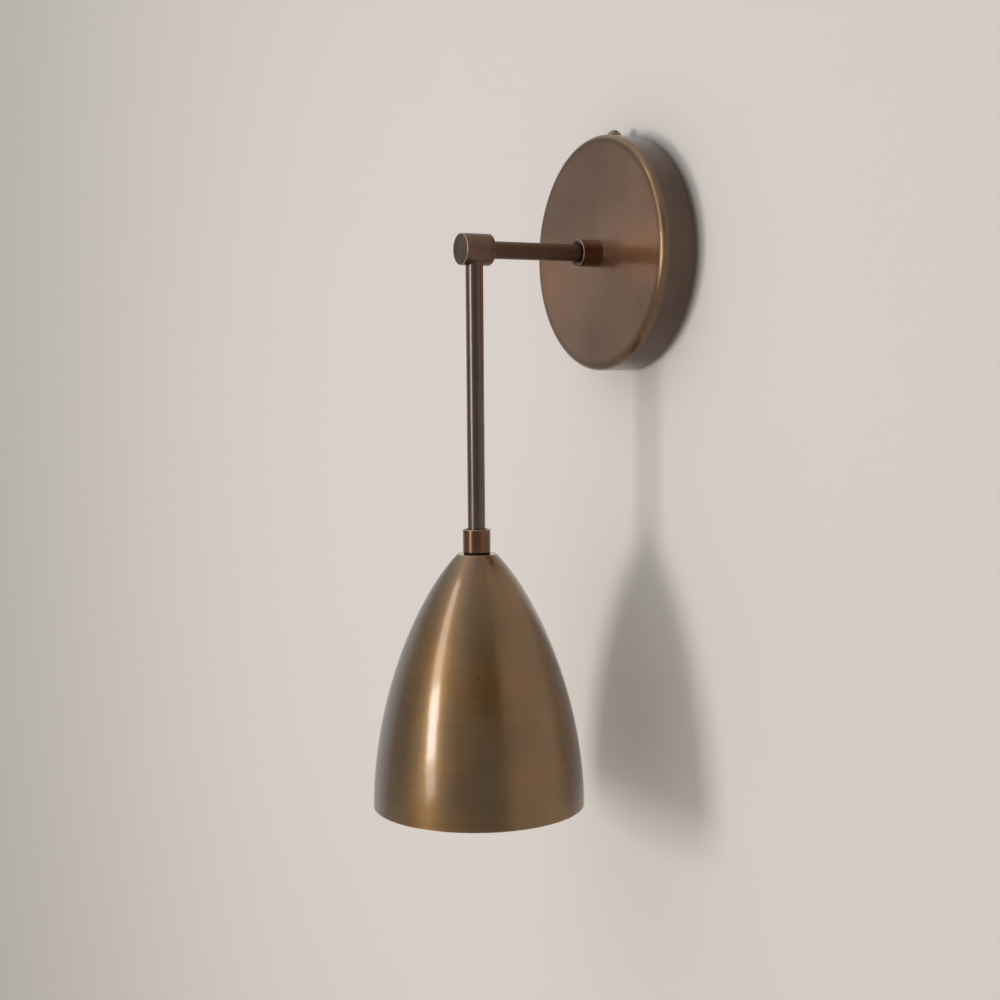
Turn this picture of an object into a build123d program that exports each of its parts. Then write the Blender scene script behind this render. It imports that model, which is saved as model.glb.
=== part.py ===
from build123d import *
import os
from math import cos, pi, sin, sqrt, tan

# Hanging wall sconce: a round canopy on a wall strap, a short arm, a turned elbow, a down rod
# and a spun shade with its lampholder and lamp.
# Millimetres. +Z is up, the wall is the plane Y = 0 and the sconce stands out along -Y.
# The origin is on the wall, on the axis of the canopy and the arm.

# ---------------------------------------------------------------- driving sizes: outside
CANOPY_D = 127.0  # spun canopy, 5 in
CANOPY_DEPTH = 20.2
CANOPY_WALL = 1.2
CANOPY_EDGE_R = 3.3  # outer radius of the rolled front edge

ROD_REACH = 95.2  # wall to the axis of the down rod
SHADE_DROP = 159.6  # axis of the arm to the flat top of the shade
TUBE_D = 9.3
TUBE_WALL = 0.9

ELBOW_D = 16.6
ELBOW_NOSE = 8.1  # axis of the rod to the elbow's front face
ELBOW_TAIL = 8.7  # axis of the rod to the elbow's rear face
ELBOW_EDGE = 0.25
SEAT_WALL = 0.45  # metal left in the elbow between the two tube seats

COLLAR_D = 14.7
COLLAR_LEN = 12.1  # the two collars are the same part
COLLAR_EDGE = 0.25
COLLAR_MOUTH_D = 11.7  # first step of the counterbore round the tube
COLLAR_MOUTH_DEPTH = 0.8
COLLAR_LEAD_D = 10.5  # second step, the lead into the thread
COLLAR_LEAD_DEPTH = 2.4
THREAD_HOLD = 5.4  # length of a nipple inside its collar

SHADE_HEIGHT = 134.4
SHADE_MOUTH_D = 112.8
SHADE_NECK_D = 20.8  # flat top of the shade
SHADE_WALL = 1.0
SHADE_FALL = 1.85  # exponents of the shade's superellipse, along and across its axis
SHADE_SWELL = 1.385
SHADE_POINTS = 9  # places along the profile

# ---------------------------------------------------------------- driving sizes: fixings
NIPPLE_D = 10.0
NIPPLE_TAIL = 2.0  # thread left beyond the canopy nut
NUT_FLATS = 14.0
NUT_T = 3.0
LOCK_WASHER_D = 16.5
LOCK_WASHER_T = 1.0
LOCK_TEETH = 12
LOCK_TOOTH = 1.1
GASKET_D = 14.0
GASKET_T = 1.0
SHADE_WASHER_D = 18.0
SHADE_WASHER_T = 1.2

SCREW_D = 4.0
SCREW_HEAD_D = 7.9
SCREW_HEAD_H = 2.8
SCREW_LEN = 8.0  # under the head
SCREW_SLOT_W = 1.0
SCREW_SLOT_DEPTH = 1.1
SCREW_SETBACK = 8.2  # wall to the axis of the canopy screw
SCREW_WASHER_D = 8.3
SCREW_WASHER_T = 0.5

# ---------------------------------------------------------------- driving sizes: wall strap
STRAP_W = 22.0
STRAP_T = 2.0
STRAP_BEND_R = 1.0
EAR_W = 14.0  # width of the tab and of the tongue
EAR_SHOULDER = 9.0  # length of the strap's narrow ends
EAR_TIP = 5.5  # screw axis to the tab's end
WALL_SLOT_PITCH = 70.0
WALL_SLOT_W = 5.0
WALL_SLOT_LEN = 14.0
CABLE_HOLE_D = 12.0
HOOK_W = 12.0
HOOK_T = 1.2
HOOK_OVERLAP = 6.0  # height over which hook and tongue engage
HOOK_FOOT = 11.0  # length of the hook's foot along the rim
HOOK_WALL_GAP = 1.4  # hook to the wall
TONGUE_TOP = 6.5  # hook's upper end to the strap's joggle

# ---------------------------------------------------------------- driving sizes: wiring
WIRE_D = 1.9
WIRE_SPREAD = 3.2  # centre distance of the two wires in the tubes
CORE_D = 1.1
CORE_BARE = 5.0
EARTH_D = 2.4
EARTH_HEIGHT = 18.0  # arm axis up to the earth screw
EARTH_REACH = 24.0  # arm axis out to the earth wire's loop
TAG_T = 0.8
TAG_W = 2.6  # width of a tag's ring
TAG_BARREL = 6.0
TAG_CRIMP = 0.4  # how far the tag grips into the wire
EARTH_SCREW_HEAD_D = 7.0
EARTH_SCREW_HEAD_H = 2.4
BLOCK_SIDE = 2.0  # plastic beside a pole
BLOCK_H = 16.0
BLOCK_T = 11.5
BLOCK_TOP = 9.5  # arm axis down to the terminal block
SLEEVE_D = 4.6
SLEEVE_BORE = 3.0
POLE_SCREW_D = 3.0
BLOCK_SCREW_D = 2.9
BLOCK_SCREW_HEAD_D = 5.2

# ---------------------------------------------------------------- driving sizes: lampholder
HOLDER_D = 38.0
HOLDER_WALL = 1.0
HOLDER_NECK_D = 14.0
HOLDER_NECK_LEN = 7.4
HOLDER_DOME = 8.0  # height of the domed shoulder
HOLDER_SKIRT = 7.0  # straight part of the cap
HOLDER_LEN = 33.0  # shell, from inside the cap to its lip
HOLDER_OVERLAP = 5.0  # shell inside the cap
HOLDER_LIP = 2.0
SHELL_STEP = 0.35  # shell's outside inside the cap's
CORE_CUP_D = 33.6  # porcelain core
CORE_CUP_WALL = 2.6
CORE_DECK_T = 7.0
SOCKET_SHELL_T = 0.5
CONTACT_W = 5.0
CONTACT_T = 0.5
CONTACT_RISE = 2.2
TERMINAL_PITCH = 17.0
TERMINAL_W = 5.0
TERMINAL_H = 4.6
TERMINAL_SCREW_D = 2.6
SET_SCREW_D = 2.9

# ---------------------------------------------------------------- driving sizes: lamp
BULB_D = 45.0
BULB_LEN = 77.0
BULB_GLASS_T = 0.8
BULB_NECK_D = 24.0
BULB_FLOW = 0.8  # where the neck's curve meets the ball, as a share of its radius
BULB_CAP_D = 26.3
BULB_CAP_T = 0.4
BULB_CAP_LEN = 22.5
BULB_INSULATOR_H = 3.4
BULB_CONTACT_D = 9.5
BULB_CONTACT_H = 1.1
STEM_D = 5.0
FILAMENT_COUNT = 4
FILAMENT_D = 1.7
FILAMENT_LEN = 22.0
FILAMENT_RING_D = 12.0

# ---------------------------------------------------------------- clearances
FIT = 0.03  # radial play of a screwed or pressed pair
RUN = 0.05  # radial play of a screw that turns in its hole
SEAT = 0.1  # play between faces that only rest on each other
CLEAR = 0.3  # play between pieces that pass each other

# ---------------------------------------------------------------- worked out
CANOPY_R = CANOPY_D / 2
CANOPY_IN_R = CANOPY_R - CANOPY_WALL
CANOPY_IN_DEPTH = CANOPY_DEPTH - CANOPY_WALL
TUBE_R = TUBE_D / 2
BORE_R = TUBE_R - TUBE_WALL
NIPPLE_R = NIPPLE_D / 2
ARM_AXIS_END = ROD_REACH - TUBE_R - SEAT_WALL  # arm tube's end, from the wall
ARM_START = CANOPY_DEPTH + THREAD_HOLD + CLEAR
ROD_TOP = -BORE_R - SEAT_WALL
SHADE_TOP = -SHADE_DROP
SHADE_MOUTH = SHADE_TOP - SHADE_HEIGHT
COLLAR_BOTTOM = SHADE_TOP + GASKET_T
ROD_BOTTOM = COLLAR_BOTTOM + THREAD_HOLD + CLEAR
NUT_BOTTOM = SHADE_TOP - SHADE_WALL - SHADE_WASHER_T - NUT_T
CANOPY_NUT_END = CANOPY_IN_DEPTH - LOCK_WASHER_T - TAG_T - NUT_T
ARM_NIPPLE_END = CANOPY_NUT_END - NIPPLE_TAIL

POLE_PITCH = BLOCK_SCREW_HEAD_D + SLEEVE_D + 3 * CLEAR
BLOCK_W = POLE_PITCH + SLEEVE_D + 2 * BLOCK_SIDE

EAR_TOP = sqrt(CANOPY_IN_R**2 - (EAR_W / 2) ** 2) - CLEAR
HOOK_FRONT = HOOK_WALL_GAP + HOOK_T
TONGUE_STEP = HOOK_FRONT + CLEAR
HOOK_TOP = -CANOPY_IN_R + HOOK_T + HOOK_OVERLAP + 3 * CLEAR
TONGUE_END = HOOK_TOP - HOOK_OVERLAP
RIM_TOP = CANOPY_R + SEAT
HEAD_SEAT = RIM_TOP + SCREW_WASHER_T + SEAT

CAP_SHOULDER = NUT_BOTTOM - HOLDER_NECK_LEN
CAP_DOME_END = CAP_SHOULDER - HOLDER_DOME
CAP_END = CAP_DOME_END - HOLDER_SKIRT
HOLDER_R = HOLDER_D / 2
CAP_IN_R = HOLDER_R - HOLDER_WALL
SHELL_TOP = CAP_END + HOLDER_OVERLAP
SHELL_END = SHELL_TOP - HOLDER_LEN
SHELL_NECK_R = CAP_IN_R - FIT
SHELL_IN_R = SHELL_NECK_R - HOLDER_WALL
CUP_R = min(CORE_CUP_D / 2, SHELL_IN_R - CLEAR)
CUP_END = SHELL_END + HOLDER_WALL
CUP_TOP = SHELL_TOP
DECK_BOTTOM = CUP_TOP - CORE_DECK_T
SOCKET_R = BULB_CAP_D / 2 + CLEAR
SHADE_R = SHADE_MOUTH_D / 2

BULB_TIP = DECK_BOTTOM - CONTACT_T - CONTACT_RISE - CLEAR
INSULATOR_TOP = BULB_TIP - BULB_CONTACT_H
CAP_TOP = INSULATOR_TOP - BULB_INSULATOR_H
CAP_BOTTOM = CAP_TOP - BULB_CAP_LEN
BULB_END = BULB_TIP - BULB_LEN
BALL_CENTRE = BULB_END + BULB_D / 2

OUT = Rot(90, 0, 0)  # takes a piece drawn along +Z from the wall to its place along -Y
DROP = Pos(0, -ROD_REACH, 0)  # takes a piece drawn on the Z axis to the axis of the rod


# ---------------------------------------------------------------- small helpers
def turned(*profile):
    """Solid of revolution about Z from (radius, height) points."""
    face = make_face(Plane.XZ * Polyline(*profile, close=True))
    return revolve(face, axis=Axis.Z)


def spun(edges):
    """Solid of revolution about Z from a closed chain of edges drawn as (radius, height)."""
    return revolve(Plane.XZ * make_face(edges), axis=Axis.Z)


def rod(radius, low, high, x=0, y=0):
    """Upright cylinder between two heights."""
    return Pos(x, y, (low + high) / 2) * Cylinder(radius, high - low)


def ring(outer, inner, low, high):
    """Upright tube between two heights."""
    return turned((inner, low), (outer, low), (outer, high), (inner, high))


def block(x0, x1, y0, y1, z0, z1):
    """Box between two corners."""
    return Pos((x0 + x1) / 2, (y0 + y1) / 2, (z0 + z1) / 2) * Box(x1 - x0, y1 - y0, z1 - z0)


def hex_nut(low, high):
    """Hexagon nut on a nipple."""
    body = extrude(Pos(0, 0, low) * RegularPolygon(NUT_FLATS / 2, 6, major_radius=False), high - low)
    bevel = turned((0, low), (NUT_FLATS / 2, low), (NUT_FLATS / 2 + NUT_T, low + NUT_T), (0, low + NUT_T))
    return (body & bevel) - rod(NIPPLE_R + FIT, low - 1, high + 1)


def cord(points, radii, diameter):
    """Round wire along straight runs joined by arcs."""
    path = FilletPolyline(*points, radius=radii)
    start = Plane(origin=path @ 0, z_dir=path % 0)
    return sweep(start * Circle(diameter / 2), path=path)


# ---------------------------------------------------------------- canopy and its fixings
def canopy():
    """Spun dish, open towards the wall, with a rolled front edge."""
    hole = NIPPLE_R + CLEAR
    outline = Polyline(
        (hole, CANOPY_IN_DEPTH),
        (CANOPY_IN_R, CANOPY_IN_DEPTH),
        (CANOPY_IN_R, 0),
        (CANOPY_R, 0),
        (CANOPY_R, CANOPY_DEPTH),
        (hole, CANOPY_DEPTH),
        close=True,
    )
    face = make_face(outline)
    corners = face.vertices()
    outer = corners.sort_by_distance((CANOPY_R, CANOPY_DEPTH))[0]
    face = fillet(outer, CANOPY_EDGE_R)
    inner = face.vertices().sort_by_distance((CANOPY_IN_R, CANOPY_IN_DEPTH))[0]
    face = fillet(inner, max(CANOPY_EDGE_R - CANOPY_WALL, CANOPY_WALL / 2))
    dish = revolve(Plane.XZ * face, axis=Axis.Z)
    hole_path = rod(SCREW_D / 2 + 2 * RUN, 0, 2 * CANOPY_R)
    return OUT * dish - Pos(0, -SCREW_SETBACK, 0) * hole_path


def wall_bracket():
    """Steel strap: tab for the canopy screw above, joggled tongue for the hook below."""
    step = STRAP_T * tan(pi / 8)  # the joggle lies at 45 degrees
    knee = HOOK_TOP + TONGUE_TOP
    side = Polyline(
        (0, EAR_TOP),
        (SCREW_SETBACK + EAR_TIP, EAR_TOP),
        (SCREW_SETBACK + EAR_TIP, EAR_TOP - STRAP_T),
        (STRAP_T, EAR_TOP - STRAP_T),
        (STRAP_T, knee + step),
        (STRAP_T + TONGUE_STEP, knee - TONGUE_STEP + step),
        (STRAP_T + TONGUE_STEP, TONGUE_END),
        (TONGUE_STEP, TONGUE_END),
        (TONGUE_STEP, knee - TONGUE_STEP),
        (0, knee),
        close=True,
    )
    face = make_face(side)
    face = fillet(face.vertices().sort_by_distance((0, EAR_TOP))[0], STRAP_BEND_R + STRAP_T)
    bend = face.vertices().sort_by_distance((STRAP_T, EAR_TOP - STRAP_T))[0]
    face = fillet(bend, STRAP_BEND_R)
    # The side view is drawn as (distance from the wall, height).
    strap = extrude(Plane((0, 0, 0), x_dir=(0, -1, 0), z_dir=(-1, 0, 0)) * face, STRAP_W / 2, both=True)
    for side_x in (-1, 1):
        edge = sorted((side_x * EAR_W / 2, side_x * STRAP_W))
        strap -= block(*edge, -CANOPY_DEPTH, 1, EAR_TOP - EAR_SHOULDER, EAR_TOP + 1)
        strap -= block(*edge, -CANOPY_DEPTH, 1, TONGUE_END - 1, TONGUE_END + EAR_SHOULDER)
    slot = extrude(Rot(0, 0, 90) * SlotOverall(WALL_SLOT_LEN, WALL_SLOT_W), CANOPY_DEPTH, both=True)
    for z in (-WALL_SLOT_PITCH / 2, WALL_SLOT_PITCH / 2):
        strap -= Pos(0, 0, z) * OUT * slot
    strap -= OUT * rod(CABLE_HOLE_D / 2, -1, CANOPY_DEPTH)
    strap -= OUT * rod(SCREW_D / 2 + RUN, -1, CANOPY_DEPTH, 0, EARTH_HEIGHT)
    strap -= OUT * rod(BLOCK_SCREW_D / 2 + RUN, -1, CANOPY_DEPTH, 0, -BLOCK_TOP - BLOCK_H / 2)
    return strap - rod(SCREW_D / 2 + RUN, EAR_TOP - 2 * STRAP_T, EAR_TOP + 1, 0, -SCREW_SETBACK)


def canopy_hook():
    """Clip brazed inside the bottom of the rim; its upright goes behind the strap's tongue."""
    band = ring(CANOPY_IN_R, CANOPY_IN_R - HOOK_T, HOOK_WALL_GAP, HOOK_WALL_GAP + HOOK_FOOT)
    half = HOOK_W / 2
    foot = OUT * band & block(-half, half, -CANOPY_DEPTH, 0, -CANOPY_R, -CANOPY_IN_R / 2)
    low = -sqrt(CANOPY_IN_R**2 - half**2) + HOOK_T / 4
    return foot + block(-half, half, -HOOK_FRONT, -HOOK_WALL_GAP, low, HOOK_TOP)


def canopy_screw():
    """Round-head screw through the top of the rim into the strap's tab."""
    radius = SCREW_HEAD_D / 2
    dome = (radius**2 + SCREW_HEAD_H**2) / (2 * SCREW_HEAD_H)
    head = Pos(0, 0, HEAD_SEAT + SCREW_HEAD_H - dome) * Sphere(dome)
    head &= rod(radius, HEAD_SEAT, HEAD_SEAT + 2 * SCREW_HEAD_H)
    top = HEAD_SEAT + SCREW_HEAD_H
    head -= block(-radius, radius, -SCREW_SLOT_W / 2, SCREW_SLOT_W / 2, top - SCREW_SLOT_DEPTH, top + 1)
    shank = rod(SCREW_D / 2, HEAD_SEAT - SCREW_LEN, HEAD_SEAT + SCREW_HEAD_H / 3)
    tip = shank.edges().sort_by(Axis.Z)[0]
    return Pos(0, -SCREW_SETBACK, 0) * (head + chamfer(tip, SCREW_D / 8))


def screw_washer():
    """Washer held captive under the screw's head."""
    return Pos(0, -SCREW_SETBACK, 0) * ring(
        SCREW_WASHER_D / 2, SCREW_D / 2 + 2 * RUN, RIM_TOP, RIM_TOP + SCREW_WASHER_T
    )


def canopy_washer():
    """Toothed lock washer between the canopy and the earth tag."""
    inner = NIPPLE_R + CLEAR
    disc = ring(LOCK_WASHER_D / 2 - LOCK_TOOTH, inner, CANOPY_IN_DEPTH - LOCK_WASHER_T, CANOPY_IN_DEPTH)
    for turn in range(LOCK_TEETH):
        tooth = block(LOCK_WASHER_D / 2 - 2 * LOCK_TOOTH, LOCK_WASHER_D / 2, -LOCK_TOOTH / 2, LOCK_TOOTH / 2,
                      CANOPY_IN_DEPTH - LOCK_WASHER_T, CANOPY_IN_DEPTH)
        disc += Rot(0, 0, turn * 360 / LOCK_TEETH) * tooth
    return OUT * disc


def canopy_nut():
    """Nut that holds the arm to the canopy."""
    return OUT * hex_nut(CANOPY_NUT_END, CANOPY_NUT_END + NUT_T)


# ---------------------------------------------------------------- arm, elbow, rod
def collar(seat, length):
    """Turned collar: nipple thread from below, stepped counterbore round the tube above."""
    top = seat + length
    edge = COLLAR_EDGE
    tube_seat = TUBE_R + FIT
    shoulder = seat + THREAD_HOLD
    return turned(
        (NIPPLE_R + FIT, seat),
        (COLLAR_D / 2 - edge, seat),
        (COLLAR_D / 2, seat + edge),
        (COLLAR_D / 2, top - edge),
        (COLLAR_D / 2 - edge, top),
        (COLLAR_MOUTH_D / 2, top),
        (COLLAR_MOUTH_D / 2, top - COLLAR_MOUTH_DEPTH),
        (COLLAR_LEAD_D / 2, top - COLLAR_MOUTH_DEPTH),
        (COLLAR_LEAD_D / 2, top - COLLAR_LEAD_DEPTH),
        (tube_seat, top - COLLAR_LEAD_DEPTH),
        (tube_seat, shoulder),
        (NIPPLE_R + FIT, shoulder),
    )


def nipple(low, high):
    """Hollow threaded stud."""
    return ring(NIPPLE_R, BORE_R, low, high)


def elbow():
    """Turned block, cross-drilled from behind for the arm and from below for the rod."""
    body = rod(ELBOW_D / 2, ROD_REACH - ELBOW_TAIL, ROD_REACH + ELBOW_NOSE)
    body = chamfer(body.edges().filter_by(GeomType.CIRCLE), ELBOW_EDGE)
    body = OUT * body
    seat = TUBE_R + FIT
    body -= OUT * rod(seat, 0, ARM_AXIS_END)
    body -= OUT * rod(BORE_R, 0, ROD_REACH)
    body -= DROP * rod(seat, -ELBOW_D, ROD_TOP)
    body -= DROP * rod(BORE_R, -ELBOW_D, 0)
    return body - DROP * Sphere(BORE_R)


def arm_tube():
    """Tube from the canopy's collar to the elbow."""
    return OUT * ring(TUBE_R, BORE_R, ARM_START, ARM_AXIS_END)


def down_rod():
    """Tube from the elbow to the shade's collar."""
    return DROP * ring(TUBE_R, BORE_R, ROD_BOTTOM, ROD_TOP)


# ---------------------------------------------------------------- shade
def shade_radius(height):
    """Outside radius of the shade at a height above its mouth, and its slope there."""
    reach = SHADE_HEIGHT / (1 - (SHADE_NECK_D / SHADE_MOUTH_D) ** SHADE_SWELL) ** (1 / SHADE_FALL)
    share = (height / reach) ** SHADE_FALL
    radius = SHADE_R * (1 - share) ** (1 / SHADE_SWELL)
    slope = 0.0
    if height > 0:
        slope = -radius * SHADE_FALL * share / (SHADE_SWELL * height * (1 - share))
    return radius, slope


def shade_curve(depth):
    """Profile points of the shade, a depth inside its outer face, from mouth to top."""
    points = []
    for step in range(SHADE_POINTS):
        height = SHADE_HEIGHT * sin(pi / 2 * step / (SHADE_POINTS - 1))
        radius, slope = shade_radius(height)
        length = sqrt(1 + slope**2)
        points.append((radius - depth / length, SHADE_MOUTH + height + depth * slope / length))
    return points


def shade():
    """Spun shade: a superellipse with a flat top, open below."""
    outer = shade_curve(0)
    inner = shade_curve(SHADE_WALL)
    inner_top = SHADE_TOP - SHADE_WALL
    inner = [point for point in inner if point[1] < inner_top - SHADE_WALL]
    bore = NIPPLE_R + CLEAR
    mouth_tangent = (0, 1)
    top_slope = shade_radius(SHADE_HEIGHT)[1]
    outside = Spline(*outer, tangents=[mouth_tangent, (top_slope, 1)])
    last = inner[-1]
    last_slope = shade_radius(last[1] - SHADE_MOUTH)[1]
    run_out = (last[0] + last_slope * (inner_top - last[1]), inner_top)
    inside = Spline(*inner, tangents=[mouth_tangent, (last_slope, 1)])
    edges = [
        outside,
        Line(outer[-1], (bore, SHADE_TOP)),
        Line((bore, SHADE_TOP), (bore, inner_top)),
        Line((bore, inner_top), run_out),
        Line(run_out, last),
        inside,
        Line(inner[0], outer[0]),
    ]
    return DROP * spun(edges)


def shade_nut():
    """Nut that clamps the shade to its collar."""
    return DROP * hex_nut(NUT_BOTTOM, NUT_BOTTOM + NUT_T)


# ---------------------------------------------------------------- lampholder
def holder_cap():
    """Domed cap with a threaded neck that screws onto the nipple."""
    bore = NIPPLE_R + FIT
    neck = HOLDER_NECK_D / 2
    dome_in = HOLDER_DOME - HOLDER_WALL
    outline = [
        Line((bore, NUT_BOTTOM), (neck, NUT_BOTTOM)),
        Line((neck, NUT_BOTTOM), (neck, CAP_SHOULDER)),
        EllipticalCenterArc((neck, CAP_DOME_END), HOLDER_R - neck, HOLDER_DOME, arc_size=90),
        Line((HOLDER_R, CAP_DOME_END), (HOLDER_R, CAP_END)),
        Line((HOLDER_R, CAP_END), (CAP_IN_R, CAP_END)),
        Line((CAP_IN_R, CAP_END), (CAP_IN_R, CAP_DOME_END)),
        EllipticalCenterArc((neck, CAP_DOME_END), CAP_IN_R - neck, dome_in, arc_size=90),
        Line((neck, CAP_DOME_END + dome_in), (bore, CAP_DOME_END + dome_in)),
        Line((bore, CAP_DOME_END + dome_in), (bore, NUT_BOTTOM)),
    ]
    body = DROP * spun(outline)
    hole = Rot(0, 90, 0) * rod(SET_SCREW_D / 2 + FIT, 0, HOLDER_D)
    return body - Pos(0, -ROD_REACH, (NUT_BOTTOM + CAP_SHOULDER) / 2) * hole


def holder_set_screw():
    """Grub screw that locks the cap on the nipple."""
    length = HOLDER_NECK_D / 2 - NIPPLE_R - SEAT
    screw = Rot(0, 90, 0) * rod(SET_SCREW_D / 2, NIPPLE_R + SEAT, NIPPLE_R + SEAT + length)
    return Pos(0, -ROD_REACH, (NUT_BOTTOM + CAP_SHOULDER) / 2) * screw


def holder_shell():
    """Brass shell that screws into the cap, with a lip that carries the core."""
    neck = SHELL_NECK_R
    wide = HOLDER_R - SHELL_STEP
    body = turned(
        (SHELL_IN_R, SHELL_TOP),
        (neck, SHELL_TOP),
        (neck, CAP_END - SEAT),
        (wide, CAP_END - SEAT),
        (wide, SHELL_END),
        (SHELL_IN_R - HOLDER_LIP, SHELL_END),
        (SHELL_IN_R - HOLDER_LIP, SHELL_END + HOLDER_WALL),
        (SHELL_IN_R, SHELL_END + HOLDER_WALL),
    )
    return DROP * body


def holder_core():
    """Porcelain cup with a thick deck; two holes take the contacts' rivets."""
    cup = turned(
        (0, CUP_TOP),
        (CUP_R, CUP_TOP),
        (CUP_R, CUP_END),
        (CUP_R - CORE_CUP_WALL, CUP_END),
        (CUP_R - CORE_CUP_WALL, DECK_BOTTOM),
        (0, DECK_BOTTOM),
    )
    for x in (-TERMINAL_PITCH / 2, TERMINAL_PITCH / 2):
        cup -= rod(TERMINAL_SCREW_D / 2 + FIT, DECK_BOTTOM - 1, CUP_TOP + 1, x)
    return DROP * cup


def holder_socket():
    """Thin screw shell in the core; its flange takes the neutral rivet."""
    flange = (TERMINAL_PITCH - TERMINAL_W) / 2
    body = turned(
        (SOCKET_R + SOCKET_SHELL_T, CUP_END + CORE_CUP_WALL / 2),
        (SOCKET_R + SOCKET_SHELL_T, DECK_BOTTOM),
        (flange, DECK_BOTTOM),
        (flange, DECK_BOTTOM - SOCKET_SHELL_T),
        (SOCKET_R, DECK_BOTTOM - SOCKET_SHELL_T),
        (SOCKET_R, CUP_END + CORE_CUP_WALL / 2),
    )
    half = CONTACT_W / 2 + CLEAR
    foot_end = TERMINAL_PITCH / 2 + half
    gap = block(-foot_end, 0, -half, half, DECK_BOTTOM - CONTACT_T, DECK_BOTTOM)
    return DROP * (body - gap)


def holder_contact():
    """Sprung tongue for the lamp's centre contact, riveted under the deck."""
    foot = DECK_BOTTOM - CONTACT_T
    half = CONTACT_W / 2
    start = -TERMINAL_PITCH / 2 - half
    profile = Polyline(
        (start, DECK_BOTTOM),
        (-half - CONTACT_RISE, DECK_BOTTOM),
        (-half, DECK_BOTTOM - CONTACT_RISE),
        (half, DECK_BOTTOM - CONTACT_RISE),
        (half, foot - CONTACT_RISE),
        (-half - CONTACT_T / 2, foot - CONTACT_RISE),
        (-half - CONTACT_RISE - CONTACT_T / 2, foot),
        (start, foot),
        close=True,
    )
    return DROP * extrude(Plane.XZ * make_face(profile), half, both=True)


def holder_terminals():
    """Two brass terminals on the deck, each with its rivet through the core."""
    pair = []
    for side_x in (-1, 1):
        x = side_x * TERMINAL_PITCH / 2
        half = TERMINAL_W / 2
        body = block(x - half, x + half, -half, half, CUP_TOP, CUP_TOP + TERMINAL_H)
        body += rod(TERMINAL_SCREW_D / 2, DECK_BOTTOM, CUP_TOP + TERMINAL_H / 2, x)
        body -= rod(CORE_D / 2 + FIT, CUP_TOP + TERMINAL_H / 4, CUP_TOP + TERMINAL_H + 1, x)
        side = Pos(x, 0, CUP_TOP + TERMINAL_H / 2) * Rot(90, 0, 0)
        body += side * rod(TERMINAL_SCREW_D / 2, half / 2, half + TERMINAL_SCREW_D / 2)
        pair.append(DROP * body)
    return Compound(children=pair)


# ---------------------------------------------------------------- lamp
def bulb_glass():
    """Clear ball blown to a neck that is cemented into the cap."""
    neck = BULB_NECK_D / 2

    def skin(depth):
        radius = BULB_D / 2 - depth
        throat = neck - depth
        high = CAP_BOTTOM + BULB_CAP_LEN / 2 + depth
        rise = sqrt(1 - BULB_FLOW**2)
        meet = (BULB_FLOW * radius, BALL_CENTRE + rise * radius)
        below = (radius * cos(pi / 8), BALL_CENTRE - radius * sin(pi / 8))
        pole = (0, BALL_CENTRE - radius)
        edges = [
            Line((0, high), (throat, high)),
            Line((throat, high), (throat, CAP_BOTTOM)),
            Spline((throat, CAP_BOTTOM), meet, tangents=[(0, -1), (rise, -BULB_FLOW)]),
            ThreePointArc(meet, below, pole),
            Line(pole, (0, high)),
        ]
        return spun(edges)

    return DROP * (skin(0) - skin(BULB_GLASS_T))


def bulb_cap():
    """Plated screw cap of the lamp."""
    outer = BULB_CAP_D / 2
    inner = outer - BULB_CAP_T
    top = outer - BULB_INSULATOR_H
    return DROP * turned(
        (top - BULB_CAP_T, CAP_TOP),
        (top, CAP_TOP),
        (outer, CAP_TOP - BULB_INSULATOR_H),
        (outer, CAP_BOTTOM),
        (BULB_NECK_D / 2 + FIT, CAP_BOTTOM),
        (BULB_NECK_D / 2 + FIT, CAP_BOTTOM + BULB_CAP_T),
        (inner, CAP_BOTTOM + BULB_CAP_T),
        (inner, CAP_TOP - BULB_INSULATOR_H),
        (top - BULB_CAP_T, CAP_TOP - BULB_CAP_T),
    )


def bulb_insulator():
    """Black glass cone between the cap and the centre contact."""
    wide = BULB_CAP_D / 2 - BULB_INSULATOR_H
    return DROP * turned(
        (0, CAP_TOP), (wide, CAP_TOP), (BULB_CONTACT_D / 2, INSULATOR_TOP - SEAT), (0, INSULATOR_TOP - SEAT)
    )


def bulb_contact():
    """Solder button at the tip of the lamp."""
    radius = BULB_CONTACT_D / 2
    button = rod(radius, INSULATOR_TOP, BULB_TIP)
    return DROP * chamfer(button.edges().sort_by(Axis.Z)[-1], BULB_CONTACT_H / 2)


def bulb_stem():
    """Glass stem with a spider at each end that carries the filaments."""
    top = CAP_BOTTOM + BULB_CAP_LEN / 2
    high = BALL_CENTRE + FILAMENT_LEN / 2
    low = BALL_CENTRE - FILAMENT_LEN / 2
    flare = BULB_NECK_D / 2 - BULB_GLASS_T - FIT
    stem = turned(
        (0, top), (flare, top), (flare, top - 1), (STEM_D / 2, CAP_BOTTOM), (STEM_D / 4, high),
        (STEM_D / 4, low - 1), (0, low - 1)
    )
    reach = FILAMENT_RING_D / 2 + FILAMENT_D / 2
    for level in (high, low - 1):
        for turn in range(FILAMENT_COUNT):
            spoke = block(0, reach, -FILAMENT_D / 4, FILAMENT_D / 4, level, level + 1)
            stem += Rot(0, 0, turn * 360 / FILAMENT_COUNT) * spoke
    return DROP * stem


def bulb_filaments():
    """Straight filaments standing between the two spiders."""
    low = BALL_CENTRE - FILAMENT_LEN / 2
    rods = []
    for turn in range(FILAMENT_COUNT):
        post = rod(FILAMENT_D / 2, low, low + FILAMENT_LEN, FILAMENT_RING_D / 2)
        rods.append(DROP * Rot(0, 0, turn * 360 / FILAMENT_COUNT) * post)
    return Compound(children=rods)


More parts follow.
